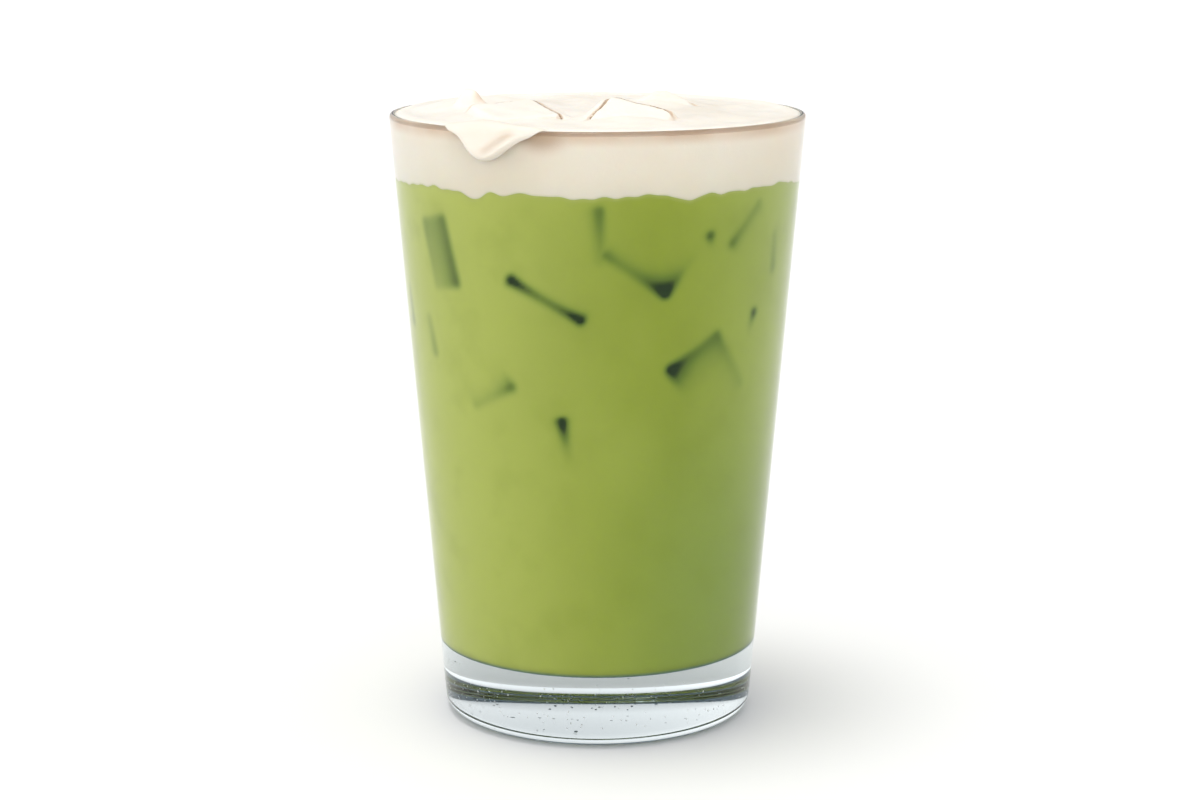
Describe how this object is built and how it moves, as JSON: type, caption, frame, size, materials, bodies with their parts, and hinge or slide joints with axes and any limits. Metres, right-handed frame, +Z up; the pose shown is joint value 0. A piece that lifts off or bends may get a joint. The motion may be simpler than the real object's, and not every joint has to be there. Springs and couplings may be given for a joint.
{
  "type": "iced matcha latte in a glass",
  "caption": "Tapered clear tumbler with a thick base, filled to the brim with green matcha latte under a cream foam cap; ice breaks the foam and one lobe of foam hangs over the rim.",
  "frame": {"origin": "centre of the foot ring, on the surface the glass stands on", "axes": "+Z up through the rim; the foam lobe that hangs over the rim faces -Y and a little to -X"},
  "size_m": [0.0866, 0.0866, 0.133],
  "materials": {
    "glass": "clear polished soda-lime glass",
    "matcha": "cloudy milky green liquid behind glass",
    "foam": "soft warm cream foam with fine bubbles",
    "ice": "melting ice filmed with foam"
  },
  "bodies": {
    "root": {"glass": "glass", "matcha": "matcha", "foam": "foam", "ice_left": "ice", "ice_right": "ice", "ice_back": "ice"}
  },
  "joints": []
}
